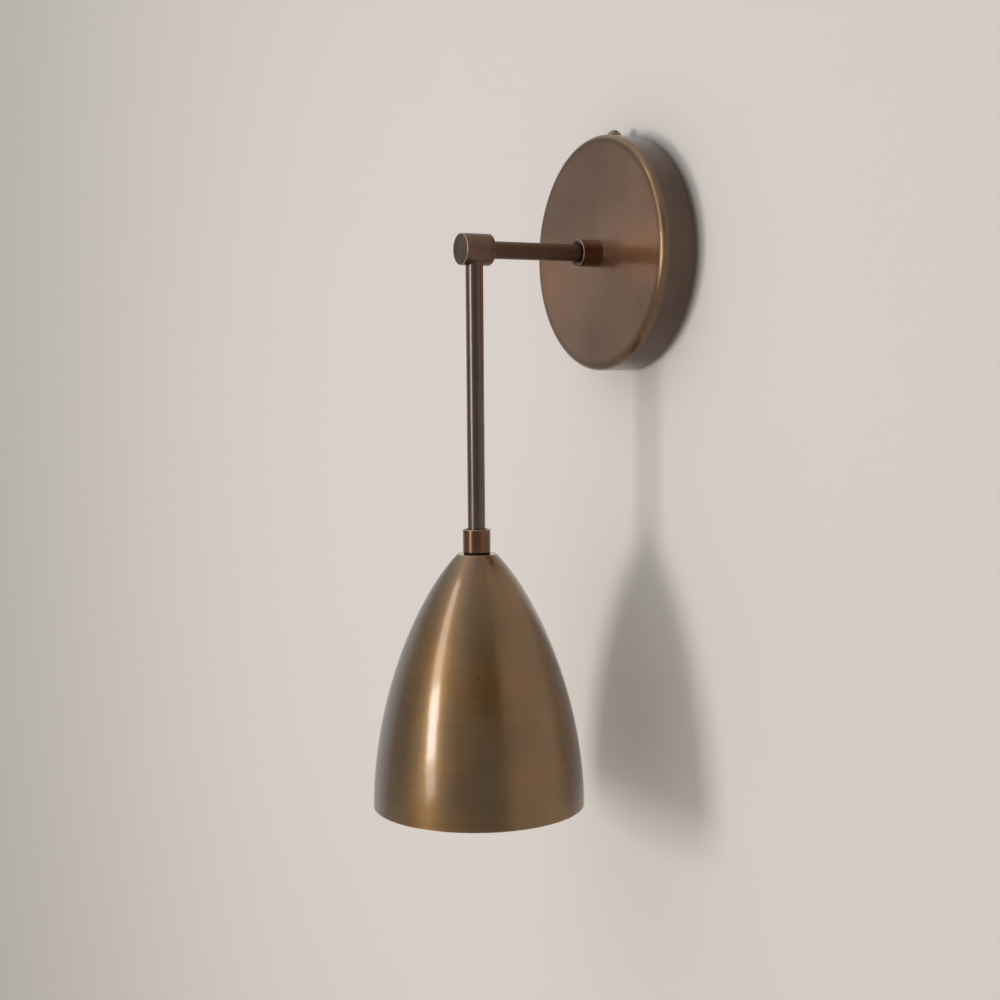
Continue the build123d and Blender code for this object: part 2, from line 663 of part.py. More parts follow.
# ---------------------------------------------------------------- wiring
def lamp_wire(side):
    """Insulated wire from the terminal block through arm, elbow and rod to the holder."""
    x_tube = side * WIRE_SPREAD / 2
    x_pole = side * POLE_PITCH / 2
    x_end = side * TERMINAL_PITCH / 2
    pole_y = -STRAP_T - BLOCK_T / 2
    exit_y = -ARM_NIPPLE_END
    cap_in = CAP_SHOULDER - HOLDER_WALL
    bend = BORE_R
    points = [
        (x_pole, pole_y, -BLOCK_TOP),
        (x_pole, pole_y, -WIRE_D),
        (x_tube, exit_y - CLEAR, 0),
        (x_tube, -ROD_REACH, 0),
        (x_tube, -ROD_REACH, cap_in),
        (x_end, -ROD_REACH, cap_in - WIRE_D),
        (x_end, -ROD_REACH, CUP_TOP + TERMINAL_H),
    ]
    wire = cord(points, [WIRE_D, WIRE_D, bend, WIRE_D, WIRE_D], WIRE_D)
    wire += rod(CORE_D / 2, -BLOCK_TOP - CORE_BARE, -BLOCK_TOP, x_pole, pole_y)
    deep = TERMINAL_H * 3 / 4 - FIT
    return wire + rod(CORE_D / 2, CUP_TOP + TERMINAL_H - deep, CUP_TOP + TERMINAL_H, x_end, -ROD_REACH)


def eyelet(inner, z_low, x, y, turn):
    """Crimp tag: a flat ring with a barrel along its own +X."""
    outer = inner + TAG_W
    barrel = outer + TAG_BARREL
    ear = ring(outer, inner, z_low, z_low + TAG_T)
    ear += block(outer - TAG_W / 2, barrel, -EARTH_D / 2, EARTH_D / 2, z_low, z_low + TAG_T)
    return Pos(x, y, 0) * Rot(0, 0, turn) * ear


def earth_wire():
    """Earth wire from the arm's nut to the strap, with a crimp tag at each end."""
    tag_a = CANOPY_IN_DEPTH - LOCK_WASHER_T - TAG_T
    tag_b = STRAP_T
    line_a = tag_a - EARTH_D / 2 + TAG_CRIMP
    line_b = tag_b + TAG_T + EARTH_D / 2 - TAG_CRIMP
    ring_a = NIPPLE_R + CLEAR
    ring_b = SCREW_D / 2 + 2 * RUN
    tags = eyelet(ring_a, tag_a, 0, 0, 0) + eyelet(ring_b, tag_b, 0, EARTH_HEIGHT, 0)
    start_a = ring_a + TAG_W + EARTH_D / 2
    start_b = ring_b + TAG_W + EARTH_D / 2
    bend = EARTH_D * 1.5
    path = [
        (start_a, 0, line_a),
        (EARTH_REACH, 0, line_a),
        (EARTH_REACH, EARTH_HEIGHT, line_b),
        (start_b, EARTH_HEIGHT, line_b),
    ]
    return OUT * (tags + cord(path, [bend, bend], EARTH_D))


def earth_screw():
    """Screw that clamps the earth tag to the strap."""
    head = STRAP_T + TAG_T
    screw = rod(EARTH_SCREW_HEAD_D / 2, head, head + EARTH_SCREW_HEAD_H)
    screw = chamfer(screw.edges().sort_by(Axis.Z)[-1], EARTH_SCREW_HEAD_H / 4)
    screw += rod(SCREW_D / 2, 0, head)
    slot = block(-EARTH_SCREW_HEAD_D, EARTH_SCREW_HEAD_D, -SCREW_SLOT_W / 2, SCREW_SLOT_W / 2,
                 head + EARTH_SCREW_HEAD_H / 2, head + EARTH_SCREW_HEAD_H + 1)
    return OUT * Pos(0, EARTH_HEIGHT, 0) * (screw - slot)


def pole_positions():
    """Terminal block poles as (x, height) pairs: two poles, a screw near each end."""
    inset = BLOCK_H / 4
    xs = (-POLE_PITCH / 2, POLE_PITCH / 2)
    return [(x, -BLOCK_TOP - y) for x in xs for y in (inset, BLOCK_H - inset)]


def terminal_block():
    """Moulded two-pole block on the strap."""
    back = STRAP_T
    front = STRAP_T + BLOCK_T
    mid = STRAP_T + BLOCK_T / 2
    half = BLOCK_W / 2
    body = block(-half, half, -BLOCK_TOP - BLOCK_H, -BLOCK_TOP, back, front)
    for x in (-POLE_PITCH / 2, POLE_PITCH / 2):
        body -= Pos(x, 0, mid) * Rot(90, 0, 0) * rod(SLEEVE_D / 2 + FIT, 0, BLOCK_TOP + BLOCK_H + 1)
    for x, y in pole_positions():
        body -= rod(POLE_SCREW_D / 2 + FIT, mid, front + 1, x, y)
    centre = -BLOCK_TOP - BLOCK_H / 2
    body -= rod(BLOCK_SCREW_D / 2 + FIT, back - 1, front + 1, 0, centre)
    body -= rod(BLOCK_SCREW_HEAD_D / 2 + FIT, mid, front + 1, 0, centre)
    return OUT * body


def terminal_sleeves():
    """Brass tubes inside the block that join lamp wires to the supply."""
    mid = STRAP_T + BLOCK_T / 2
    sleeves = []
    for x in (-POLE_PITCH / 2, POLE_PITCH / 2):
        tube = ring(SLEEVE_D / 2, SLEEVE_BORE / 2, BLOCK_TOP + CLEAR, BLOCK_TOP + BLOCK_H - CLEAR)
        tube = Pos(x, 0, mid) * Rot(90, 0, 0) * tube
        for px, py in pole_positions():
            tube -= rod(POLE_SCREW_D / 2 + FIT, mid, mid + SLEEVE_D, px, py)
        sleeves.append(OUT * tube)
    return Compound(children=sleeves)


def terminal_screws():
    """Clamping screws of the block's poles."""
    mid = STRAP_T + BLOCK_T / 2
    front = STRAP_T + BLOCK_T - BLOCK_T / 8
    screws = []
    for x, y in pole_positions():
        screw = rod(POLE_SCREW_D / 2, mid + CORE_D / 2 + SEAT, front, x, y)
        screw -= block(x - POLE_SCREW_D, x + POLE_SCREW_D, y - SCREW_SLOT_W / 3, y + SCREW_SLOT_W / 3,
                       front - SCREW_SLOT_W, front + 1)
        screws.append(OUT * screw)
    return Compound(children=screws)


def block_screw():
    """Screw that holds the terminal block to the strap."""
    mid = STRAP_T + BLOCK_T / 2
    head = mid + BLOCK_SCREW_HEAD_D / 3
    screw = rod(BLOCK_SCREW_D / 2, 0, mid) + rod(BLOCK_SCREW_HEAD_D / 2, mid, head)
    screw -= block(-BLOCK_SCREW_HEAD_D, BLOCK_SCREW_HEAD_D, -SCREW_SLOT_W / 2, SCREW_SLOT_W / 2,
                   head - SCREW_SLOT_W, head + 1)
    return OUT * Pos(0, -BLOCK_TOP - BLOCK_H / 2, 0) * screw


# ---------------------------------------------------------------- assembly
def pieces():
    """Every piece of the sconce by its node name."""
    inner_top = SHADE_TOP - SHADE_WALL
    nipple_low = CAP_SHOULDER + CLEAR
    hole = NIPPLE_R + CLEAR
    return {
        "wall_bracket": wall_bracket(),
        "canopy": canopy(),
        "canopy_hook": canopy_hook(),
        "canopy_screw": canopy_screw(),
        "screw_washer": screw_washer(),
        "canopy_washer": canopy_washer(),
        "canopy_nut": canopy_nut(),
        "arm_nipple": OUT * nipple(ARM_NIPPLE_END, CANOPY_DEPTH + THREAD_HOLD),
        "arm_collar": OUT * collar(CANOPY_DEPTH, COLLAR_LEN),
        "arm_tube": arm_tube(),
        "elbow": elbow(),
        "down_rod": down_rod(),
        "shade_collar": DROP * collar(COLLAR_BOTTOM, COLLAR_LEN),
        "shade_nipple": DROP * nipple(nipple_low, COLLAR_BOTTOM + THREAD_HOLD),
        "shade_gasket": DROP * ring(GASKET_D / 2, hole, SHADE_TOP, COLLAR_BOTTOM),
        "shade": shade(),
        "shade_washer": DROP * ring(SHADE_WASHER_D / 2, hole, inner_top - SHADE_WASHER_T, inner_top),
        "shade_nut": shade_nut(),
        "holder_cap": holder_cap(),
        "holder_set_screw": holder_set_screw(),
        "holder_shell": holder_shell(),
        "holder_core": holder_core(),
        "holder_socket": holder_socket(),
        "holder_contact": holder_contact(),
        "holder_terminals": holder_terminals(),
        "bulb_glass": bulb_glass(),
        "bulb_cap": bulb_cap(),
        "bulb_insulator": bulb_insulator(),
        "bulb_contact": bulb_contact(),
        "bulb_stem": bulb_stem(),
        "bulb_filaments": bulb_filaments(),
        "live_wire": lamp_wire(-1),
        "neutral_wire": lamp_wire(1),
        "earth_wire": earth_wire(),
        "earth_screw": earth_screw(),
        "terminal_block": terminal_block(),
        "terminal_sleeves": terminal_sleeves(),
        "terminal_screws": terminal_screws(),
        "block_screw": block_screw(),
    }


def main():
    os.makedirs("parts", exist_ok=True)
    for name, piece in pieces().items():
        export_step(piece, f"parts/{name}.step")


main()
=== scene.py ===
"""Wall sconce: canopy, arm, elbow, down rod and spun bell shade over a round lamp, ready to render.

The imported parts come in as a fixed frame. Each operator below finishes one piece or group of like pieces.
"""

from math import atan2, cos, floor, hypot, pi, radians, sin

import bpy
from bpy.props import FloatProperty, FloatVectorProperty, IntProperty, PointerProperty
from bpy.types import Operator, Panel, PropertyGroup
from mathutils import Matrix, Vector


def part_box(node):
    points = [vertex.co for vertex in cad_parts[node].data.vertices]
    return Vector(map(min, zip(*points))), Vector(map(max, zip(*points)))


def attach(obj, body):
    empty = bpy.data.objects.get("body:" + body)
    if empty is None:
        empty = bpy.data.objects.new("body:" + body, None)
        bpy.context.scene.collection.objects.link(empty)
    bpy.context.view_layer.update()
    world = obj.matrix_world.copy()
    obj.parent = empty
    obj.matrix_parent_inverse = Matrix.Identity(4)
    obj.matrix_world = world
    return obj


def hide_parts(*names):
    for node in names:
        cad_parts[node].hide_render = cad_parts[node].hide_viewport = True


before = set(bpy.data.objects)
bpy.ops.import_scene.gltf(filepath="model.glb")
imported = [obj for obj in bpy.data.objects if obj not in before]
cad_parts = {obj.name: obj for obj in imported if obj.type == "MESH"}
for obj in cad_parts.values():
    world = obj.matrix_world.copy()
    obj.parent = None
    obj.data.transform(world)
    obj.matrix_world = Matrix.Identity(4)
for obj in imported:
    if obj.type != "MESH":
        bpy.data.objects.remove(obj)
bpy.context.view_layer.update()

bl_info = {
    "name": "Bell shade wall sconce",
    "version": (1, 0, 0),
    "blender": (4, 5, 0),
    "location": "3D View > Sidebar > Sconce",
    "description": "Finishes the pieces of a bell shade wall sconce and sets up its studio",
    "category": "Object",
}

SHADE_LOW, SHADE_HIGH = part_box("shade")
CANOPY_LOW, CANOPY_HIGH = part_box("canopy")
ELBOW_LOW, ELBOW_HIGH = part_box("elbow")
ROD_LOW, ROD_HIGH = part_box("down_rod")
CAP_LOW, CAP_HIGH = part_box("bulb_cap")
SHANK_LOW, SHANK_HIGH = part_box("canopy_screw")
WALL_AXIS = Vector((0, 0, 0))
DROP_AXIS = (ROD_LOW + ROD_HIGH) / 2
DROP_AXIS.z = 0
SCREW_AXIS = (SHANK_LOW + SHANK_HIGH) / 2
SCREW_AXIS.z = 0

CAMERA_PLACE = (0.73029, -0.48346, -0.06274)
CAMERA_TURN, CAMERA_DIP, CAMERA_ROLL = 61.138, 4.7325, -0.446  # degrees: to the left, down, and round its sight
CAMERA_LENS, CAMERA_SENSOR = 56.545, 36  # millimetres
WALL_BOX_RADIUS = 0.045
LAMP_AIM = Vector((0, DROP_AXIS.y, -0.2))  # a little above the middle of the shade
BOUNCES = ((-76, 0, 26, 0.19), (80, 50, 45, -0.46))  # the room's sides: turn, rise and reach in degrees, and strength
SMOOTH_ANGLE = radians(40)
FITTING_STEPS = 48  # steps round a turned fitting
MERGE_REACH = 0.000001
SAW_LENGTH, SAW_SPARE = 0.02, 0.0005  # the spare is what the saw stands out above the cut


# ---------------------------------------------------------------- settings
class SconceFinish(PropertyGroup):
    """Colours of the metals and how worn they are, with the colour of the arm's reflection painted on the canopy."""

    shade_brass: FloatVectorProperty(
        name="Shade brass", description="Antique brass of the spun shade",
        subtype="COLOR", size=3, min=0, max=1, default=(0.214, 0.108, 0.028))
    canopy_bronze: FloatVectorProperty(
        name="Canopy bronze", description="Brown of the canopy's face and rim",
        subtype="COLOR", size=3, min=0, max=1, default=(0.325, 0.182, 0.107))
    tube_bronze: FloatVectorProperty(
        name="Tube bronze", description="Dark bronze of the arm and the down rod",
        subtype="COLOR", size=3, min=0, max=1, default=(0.105, 0.06, 0.038))
    elbow_bronze: FloatVectorProperty(
        name="Elbow bronze", description="Reddish dark bronze of the elbow",
        subtype="COLOR", size=3, min=0, max=1, default=(0.14, 0.085, 0.06))
    arm_collar_copper: FloatVectorProperty(
        name="Arm collar", description="Very dark red brown of the collar on the canopy",
        subtype="COLOR", size=3, min=0, max=1, default=(0.115, 0.052, 0.026))
    shade_collar_copper: FloatVectorProperty(
        name="Shade collar", description="Copper brown of the collar above the shade",
        subtype="COLOR", size=3, min=0, max=1, default=(0.155, 0.06, 0.024))
    screw_brass: FloatVectorProperty(
        name="Screw brass", description="Brass of the canopy screw's head",
        subtype="COLOR", size=3, min=0, max=1, default=(0.22, 0.14, 0.07))
    # This colour is both a real stain on the canopy's face and the arm's reflection painted on the face beside the
    # collar.
    canopy_stain_and_reflection: FloatVectorProperty(
        name="Canopy stains", description="Warmer copper brown of the patches on the canopy's face",
        subtype="COLOR", size=3, min=0, max=1, default=(0.46, 0.195, 0.092))
    canopy_edge: FloatVectorProperty(
        name="Canopy edge", description="Golden brown of the canopy's rolled edge",
        subtype="COLOR", size=3, min=0, max=1, default=(0.215, 0.125, 0.064))
    canopy_rim: FloatVectorProperty(
        name="Canopy rim", description="Dark greyish brown of the canopy's rim",
        subtype="COLOR", size=3, min=0, max=1, default=(0.105, 0.071, 0.053))
    rubbed_metal: FloatVectorProperty(
        name="Rubbed edges", description="Pale copper that shows where the patina is rubbed off an edge",
        subtype="COLOR", size=3, min=0, max=1, default=(0.62, 0.44, 0.33))
    brushing: FloatProperty(
        name="Brushing depth", description="Depth of the brushed lines",
        subtype="DISTANCE", unit="LENGTH", min=0, max=0.001, default=0.000012)


class SconceThreads(PropertyGroup):
    """Sizes of the screw threads."""

    lamp_pitch: FloatProperty(
        name="Lamp thread pitch", description="Rise of the lamp cap's thread in one turn",
        subtype="DISTANCE", unit="LENGTH", min=0.001, max=0.01, default=0.003629)
    lamp_depth: FloatProperty(
        name="Lamp thread depth", description="Crest to root of the lamp cap's rolled thread",
        subtype="DISTANCE", unit="LENGTH", min=0, max=0.002, default=0.00095)
    nipple_pitch: FloatProperty(
        name="Nipple thread pitch", description="Rise of the nipples' thread in one turn",
        subtype="DISTANCE", unit="LENGTH", min=0.0005, max=0.002, default=0.001)
    screw_pitch: FloatProperty(
        name="Canopy screw pitch", description="Rise of the canopy screw's thread in one turn",
        subtype="DISTANCE", unit="LENGTH", min=0.0003, max=0.002, default=0.0007)
    thread_steps: IntProperty(
        name="Thread steps", description="Steps round the lamp cap's thread", min=12, max=256, default=64)


class SconceStage(PropertyGroup):
    """Wall, floor and lamps of the studio."""

    wall_colour: FloatVectorProperty(
        name="Wall colour", description="Pale paint of the wall",
        subtype="COLOR", size=3, min=0, max=1, default=(0.797, 0.724, 0.664))
    wall_reach: FloatProperty(
        name="Wall reach", description="Distance from the canopy to the wall's edge",
        subtype="DISTANCE", unit="LENGTH", min=1, max=10, default=3.2)
    wall_gap: FloatProperty(
        name="Wall gap", description="Narrow gap between the back of the canopy and the wall",
        subtype="DISTANCE", unit="LENGTH", min=0.0002, max=0.01, default=0.0032)
    floor_height: FloatProperty(
        name="Floor height", description="Height of the floor below the canopy's centre",
        subtype="DISTANCE", unit="LENGTH", min=-3, max=-0.5, default=-1.6)
    key_power: FloatProperty(
        name="Key lamp", description="Power of the soft lamp in front", subtype="POWER", unit="POWER",
        min=0, max=200, default=9.2)
    strip_power: FloatProperty(
        name="Strip lamp", description="Power of the narrow lamp that shows in the metal",
        subtype="POWER", unit="POWER", min=0, max=200, default=3.15)
    room_light: FloatProperty(
        name="Room light", description="Strength of the light from the room", min=0, max=4, default=0.355)


# ---------------------------------------------------------------- modelling by hand
def start(primitive, **place):
    """Add a primitive with nothing else selected, and return its object in edit mode."""
    bpy.ops.object.select_all(action="DESELECT")
    primitive(**place)
    bpy.ops.object.mode_set(mode="EDIT")
    return bpy.context.object


def finish(piece, name, body, material, stands_for=()):
    """Leave edit mode, smooth the piece, and fix it to the body that it moves with."""
    if piece.mode == "EDIT":
        bpy.ops.object.mode_set(mode="OBJECT")
    piece.name = piece.data.name = name
    bpy.ops.object.select_all(action="DESELECT")
    piece.select_set(True)
    bpy.context.view_layer.objects.active = piece
    bpy.ops.object.transform_apply(location=True, rotation=True, scale=True)
    bpy.ops.object.shade_smooth_by_angle(angle=SMOOTH_ANGLE)
    piece.data.materials.clear()
    piece.data.materials.append(material)
    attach(piece, body)
    if stands_for:
        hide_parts(*stands_for)
    return piece


def draw_outline(points):
    """Draw a chain of edges through (radius, height) points in the XZ plane, from one merged vertex."""
    piece = start(bpy.ops.mesh.primitive_plane_add, size=0.01, location=(0, 0, 0))
    bpy.ops.mesh.merge(type="CENTER")
    here = Vector((0, 0, 0))
    for count, (radius, height) in enumerate(points):
        there = Vector((radius, 0, height))
        if count == 0:
            bpy.ops.transform.translate(value=there - here)
        else:
            bpy.ops.mesh.extrude_region_move(TRANSFORM_OT_translate={"value": there - here})
        here = there
    bpy.ops.mesh.select_all(action="SELECT")
    return piece


def turn_outline(points, steps):
    """Spin a closed outline of (radius, height) points once round the Z axis, as on a lathe."""
    piece = draw_outline(list(points) + [points[0]])
    bpy.ops.mesh.remove_doubles(threshold=MERGE_REACH)
    bpy.ops.mesh.spin(steps=steps, angle=2 * pi, center=(0, 0, 0), axis=(0, 0, 1))
    bpy.ops.mesh.select_all(action="SELECT")
    bpy.ops.mesh.remove_doubles(threshold=MERGE_REACH)
    bpy.ops.mesh.normals_make_consistent(inside=False)
    return piece


def rows(radius, start, end, step):
    """Points down a straight side, close enough together to carry a thread."""
    count = max(2, round(abs(end - start) / step))
    return [(radius, start + (end - start) * place / count) for place in range(count + 1)]


def press_thread(piece, pitch, depth, low, high, beyond, rounded=False):
    """Sink a right-handed thread into a turned side between two heights, easing out at both ends.

    Only points further from the axis than beyond move. The groove is a V, or a wave where it is rounded.
    """
    bpy.ops.object.mode_set(mode="OBJECT")
    for point in piece.data.vertices:
        radius = hypot(point.co.x, point.co.y)
        if radius < beyond or not low < point.co.z < high:
            continue
        turn = point.co.z / pitch - atan2(point.co.y, point.co.x) / (2 * pi)
        share = turn - floor(turn)
        groove = (1 - cos(2 * pi * share)) / 2 if rounded else 1 - abs(2 * share - 1)
        ease = min(1, (point.co.z - low) / pitch, (high - point.co.z) / pitch)
        shrink = 1 - depth * groove * ease / radius
        point.co.x *= shrink
        point.co.y *= shrink


def bend_wire(points, radius):
    """Bend round wire along a chain of points in the XZ plane."""
    draw_outline(points)
    bpy.ops.object.mode_set(mode="OBJECT")
    bpy.ops.object.convert(target="CURVE")
    wire = bpy.context.object
    wire.data.bevel_depth = radius
    wire.data.bevel_resolution = 2
    wire.data.use_fill_caps = True
    bpy.ops.object.convert(target="MESH")
    return bpy.context.object


def cut_slot(piece, width, depth, top):
    """Saw a slot across the top of a screw's head."""
    bpy.ops.object.select_all(action="DESELECT")
    bpy.ops.mesh.primitive_cube_add(size=1, location=(0, 0, top - depth / 2 + SAW_SPARE),
                                    scale=(SAW_LENGTH, width, depth + 2 * SAW_SPARE))
    saw = bpy.context.object
    bpy.ops.object.transform_apply(location=True, rotation=True, scale=True)
    cut = piece.modifiers.new("Slot", "BOOLEAN")
    cut.operation = "DIFFERENCE"
    cut.object = saw
    bpy.context.view_layer.objects.active = piece
    bpy.ops.object.modifier_apply(modifier=cut.name)
    bpy.data.objects.remove(saw)


# ---------------------------------------------------------------- finishes
ROUND_SCALE = 9  # how fast a brushed line changes on its way round
BAND_DRIFT = 0.001  # how far the edge of a band of colour wanders
SCRATCH_SHAPE = (1, 14, 14)  # long and narrow
SCRATCHES = ((55, 0.06, (0.3, 0.2, 0.5)), (80, 0.05, (1.1, 0.7, -0.6)))  # scale, share of cells, turn
DIRT_COLOUR = (0.02, 0.014, 0.01)


def node(tree, kind, inputs=None, **settings):
    """Add a shader node, set it up, and link or set each named input."""
    made = tree.nodes.new("ShaderNode" + kind)
    for key, value in settings.items():
        setattr(made, key, value)
    for key, value in (inputs or {}).items():
        if isinstance(value, bpy.types.NodeSocket):
            tree.links.new(value, made.inputs[key])
        else:
            made.inputs[key].default_value = value
    return made


def calc(tree, operation, first, second=0.0, third=0.0):
    """One step of arithmetic between two or three numbers."""
    return node(tree, "Math", {0: first, 1: second, 2: third}, operation=operation).outputs[0]


def blend_colour(tree, factor, under, over):
    """Lay one colour over another by a factor."""
    mix = node(tree, "Mix", data_type="RGBA")
    for plug, value in ((mix.inputs[0], factor), (mix.inputs[6], under), (mix.inputs[7], over)):
        if isinstance(value, bpy.types.NodeSocket):
            tree.links.new(value, plug)
        elif plug.type == "RGBA":
            plug.default_value = (*value[:3], 1)
        else:
            plug.default_value = value
    return mix.outputs[2]


def ramp(tree, value, low, high, start_at=0.0, end_at=1.0):
    """Ease a number from one range to another, held at the ends."""
    return node(tree, "MapRange", {0: value, 1: low, 2: high, 3: start_at, 4: end_at},
                interpolation_type="SMOOTHSTEP").outputs[0]


def new_finish(name):
    """Empty material with its surface shader and output."""
    material = bpy.data.materials.new(name)
    material.use_nodes = True
    tree = material.node_tree
    tree.nodes.clear()
    surface = node(tree, "BsdfPrincipled")
    node(tree, "OutputMaterial", {"Surface": surface.outputs[0]})
    return material, tree, surface


def lathe_place(tree, centre, axis):
    """Place round a turning axis: position from the centre, radius, and distance along the axis."""
    place = node(tree, "TexCoord").outputs["Object"]
    local = node(tree, "Mapping", {"Vector": place, "Location": tuple(-c for c in centre)}).outputs[0]
    parts = node(tree, "SeparateXYZ", {0: local}).outputs
    flat = (1, 1, 0) if axis == "Z" else (1, 0, 1)
    across = node(tree, "VectorMath", {0: local, 1: flat}, operation="MULTIPLY").outputs[0]
    radius = node(tree, "VectorMath", {0: across}, operation="LENGTH").outputs["Value"]
    along = parts[2] if axis == "Z" else parts[1]
    return local, parts, radius, along


def noise(tree, place, scale, detail, rough):
    """Even noise, with a scale of about so many clouds to the metre."""
    return node(tree, "TexNoise", {"Vector": place, "Scale": scale, "Detail": detail, "Roughness": rough}).outputs[0]


def specks(tree, place, scale, size, share):
    """Small scattered spots: 1 in a spot, 0 elsewhere. Share is the part of the cells that carry one."""
    cells = node(tree, "TexVoronoi", {"Vector": place, "Scale": scale})
    inside = ramp(tree, cells.outputs["Distance"], size, size * 0.5)
    chance = node(tree, "SeparateColor", {0: cells.outputs["Color"]}).outputs[0]
    return calc(tree, "MULTIPLY", inside, calc(tree, "LESS_THAN", chance, share))


def scratches(tree, place, scale, share, turn):
    """Short fine scratches that all run about one way."""
    held = node(tree, "Mapping", {"Vector": place, "Rotation": turn, "Scale": SCRATCH_SHAPE}).outputs[0]
    cells = node(tree, "TexVoronoi", {"Vector": held, "Scale": scale})
    inside = ramp(tree, cells.outputs["Distance"], 0.12, 0.04)
    chance = node(tree, "SeparateColor", {0: cells.outputs["Color"]}).outputs[1]
    return calc(tree, "MULTIPLY", inside, calc(tree, "LESS_THAN", chance, share))


def turned_metal(name, colour, centre, rough, lines, depth, streak, mottle, rubbed_colour, axis="Z", slope=-1,
                 clouds=40, anisotropy=0.0, coat=0.0, coat_rough=0.1, coat_ior=1.5, rubbed=(), bands=(), stains_and_reflections=(),
                 marks=1.0):
    """Patinated metal that was brushed or turned round its axis, under lacquer.

    Fine lines run round the axis and clouds of patina darken it. They follow the profile, whose run is the
    radius plus slope times the distance along the axis. Each band is (start, end, colour): the colour takes
    over between those two places of the run. Each rubbed edge is a ring (radius, distance along the axis,
    width, strength). Stains and painted reflections are soft patches of colour, each (place, reach, colour,
    strength, broken), and a broken one is scuffed into flecks. A few scratches and specks lie over all.
    """
    material, tree, surface = new_finish(name)
    local, parts, radius, along = lathe_place(tree, centre, axis)
    run = calc(tree, "MULTIPLY_ADD", along, slope, radius)
    side = parts[1] if axis == "Z" else parts[2]
    rings = node(tree, "CombineXYZ", {0: calc(tree, "MULTIPLY", parts[0], ROUND_SCALE),
                                     1: calc(tree, "MULTIPLY", side, ROUND_SCALE),
                                     2: calc(tree, "MULTIPLY", run, lines)}).outputs[0]
    fine = node(tree, "TexNoise", {"Vector": rings, "Scale": 1.0, "Detail": 3.0, "Roughness": 0.6}).outputs[0]
    cloud = noise(tree, local, clouds, 5, 0.6)
    broad = noise(tree, local, clouds * 0.25, 3, 0.5)

    base = tuple(colour)
    for band_start, band_end, band_colour in bands:
        share = ramp(tree, calc(tree, "MULTIPLY_ADD", broad, 2 * BAND_DRIFT, run),
                     band_start + BAND_DRIFT, band_end + BAND_DRIFT)
        base = blend_colour(tree, share, base, band_colour)
    # Soft patches of colour: stains, and reflections painted on as stains.
    for stain_reflection_place, reach, stain_reflection_colour, strength, broken in stains_and_reflections:
        away = node(tree, "VectorMath", {0: local, 1: stain_reflection_place}, operation="DISTANCE").outputs["Value"]
        away = calc(tree, "MULTIPLY_ADD", broad, reach, away)
        share = ramp(tree, away, reach * 1.5, reach * 0.5, 0.0, strength)
        if broken:
            share = calc(tree, "MULTIPLY", share, ramp(tree, noise(tree, local, 700, 4, 0.7), 0.42, 0.58))
        base = blend_colour(tree, share, base, stain_reflection_colour)
    patches = calc(tree, "MULTIPLY_ADD", broad, 0.5, calc(tree, "MULTIPLY", cloud, 0.5))
    tone = ramp(tree, patches, 0.36, 0.64, 1 - mottle, 1 + mottle * 0.6)
    tone = calc(tree, "MULTIPLY", tone, ramp(tree, fine, 0.3, 0.7, 1 - streak, 1 + streak))
    toned = node(tree, "VectorMath", operation="MULTIPLY")
    for plug, value in zip(toned.inputs, (base, tone)):
        if isinstance(value, bpy.types.NodeSocket):
            tree.links.new(value, plug)
        else:
            plug.default_value = value
    base = toned.outputs[0]

    scored = calc(tree, "MULTIPLY", calc(tree, "MAXIMUM", *(scratches(tree, local, *marked) for marked in SCRATCHES)),
                  0.5 * marks)
    wear = scored
    for ring_radius, ring_along, width, strength in rubbed:
        off_r = calc(tree, "SUBTRACT", radius, ring_radius)
        off_a = calc(tree, "SUBTRACT", along, ring_along)
        off = calc(tree, "SQRT", calc(tree, "MULTIPLY_ADD", off_r, off_r, calc(tree, "MULTIPLY", off_a, off_a)))
        worn = calc(tree, "MULTIPLY", ramp(tree, off, width, width * 0.3),
                    ramp(tree, noise(tree, local, 160, 4, 0.7), 0.36, 0.6, 0.35 * strength, strength))
        wear = calc(tree, "MAXIMUM", wear, worn)
    base = blend_colour(tree, wear, base, rubbed_colour)
    dirt = calc(tree, "MULTIPLY", specks(tree, local, 420, 0.22, 0.02), 0.6 * marks)
    base = blend_colour(tree, dirt, base, DIRT_COLOUR)

    gloss = calc(tree, "MULTIPLY_ADD", fine, 0.08, calc(tree, "MULTIPLY_ADD", cloud, 0.1, rough - 0.09))
    gloss = calc(tree, "MULTIPLY_ADD", wear, -0.05, gloss)
    tree.links.new(base, surface.inputs["Base Color"])
    tree.links.new(gloss, surface.inputs["Roughness"])
    surface.inputs["Metallic"].default_value = 1.0
    surface.inputs["Coat Weight"].default_value = coat
    surface.inputs["Coat Roughness"].default_value = coat_rough
    surface.inputs["Coat IOR"].default_value = coat_ior
    if anisotropy:
        surface.inputs["Anisotropic"].default_value = anisotropy
        surface.inputs["Anisotropic Rotation"].default_value = 0.25
        round_axis = node(tree, "Tangent", direction_type="RADIAL", axis=axis).outputs[0]
        tree.links.new(round_axis, surface.inputs["Tangent"])
    height = calc(tree, "MULTIPLY_ADD", scored, -2.0, fine)
    bump = node(tree, "Bump", {"Height": height, "Distance": depth, "Strength": 1.0})
    tree.links.new(bump.outputs[0], surface.inputs["Normal"])
    return material


